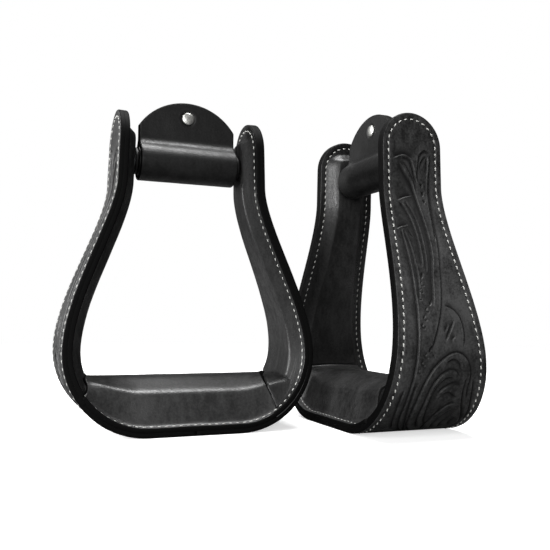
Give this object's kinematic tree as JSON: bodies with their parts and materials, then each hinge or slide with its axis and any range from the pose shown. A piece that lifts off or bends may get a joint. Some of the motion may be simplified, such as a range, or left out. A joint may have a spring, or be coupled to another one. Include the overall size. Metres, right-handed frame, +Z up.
{
  "type": "pair of western stirrups",
  "caption": "Bell-shaped western stirrups with a wooden core covered in tooled black leather, stitched linings, a wide covered tread and a riveted keeper tab round the hanging roller.",
  "frame": {"origin": "on the floor, under the middle of the box round both stirrups", "axes": "+Z up; X across the left stirrup's bell and through the right one; the left stirrup faces -Y, the right one is turned a quarter turn so that one tooled side faces -Y"},
  "size_m": [0.2551, 0.166, 0.223],
  "materials": {
    "tooled_leather": "black bridle leather, tooled, satin, burnished edges",
    "lining_leather": "black strap leather, smooth grain, satin",
    "core_wood": "laminated hardwood, unfinished, hidden",
    "steel": "zinc plated steel, hidden",
    "black_nylon": "black moulded nylon",
    "nickel": "bright nickel plated rivet"
  },
  "bodies": {
    "left_stirrup": {"left_outer_cover": "tooled_leather", "left_lining_a": "lining_leather", "left_lining_b": "lining_leather", "left_tread_cover": "lining_leather", "left_core_hoop": "core_wood", "left_tread_block": "core_wood", "left_tread_screw_a": "steel", "left_tread_screw_b": "steel", "left_bar_bolt": "steel", "left_bar_nut": "steel", "left_spacer_a": "black_nylon", "left_spacer_b": "black_nylon"},
    "right_stirrup": {"right_outer_cover": "tooled_leather", "right_lining_a": "lining_leather", "right_lining_b": "lining_leather", "right_tread_cover": "lining_leather", "right_core_hoop": "core_wood", "right_tread_block": "core_wood", "right_tread_screw_a": "steel", "right_tread_screw_b": "steel", "right_bar_bolt": "steel", "right_bar_nut": "steel", "right_spacer_a": "black_nylon", "right_spacer_b": "black_nylon"},
    "left_keeper": {"left_roller": "black_nylon", "left_keeper_tab": "tooled_leather", "left_rivet_post": "nickel", "left_rivet_cap": "nickel"},
    "right_keeper": {"right_roller": "black_nylon", "right_keeper_tab": "tooled_leather", "right_rivet_post": "nickel", "right_rivet_cap": "nickel"}
  },
  "joints": [
    {"name": "left_keeper_turn", "type": "hinge", "parent": "left_stirrup", "child": "left_keeper", "pos_m": [-0.04455, 0.027, 0.18], "axis": [1, 0, 0], "continuous": true},
    {"name": "right_stirrup_lift", "type": "slide", "parent": "left_stirrup", "child": "right_stirrup", "axis": [0, 0, 1], "range_m": [0, 0.3]},
    {"name": "right_keeper_turn", "type": "hinge", "parent": "right_stirrup", "child": "right_keeper", "pos_m": [0.08945, 0, 0.18], "axis": [0, -1, 0], "continuous": true}
  ]
}
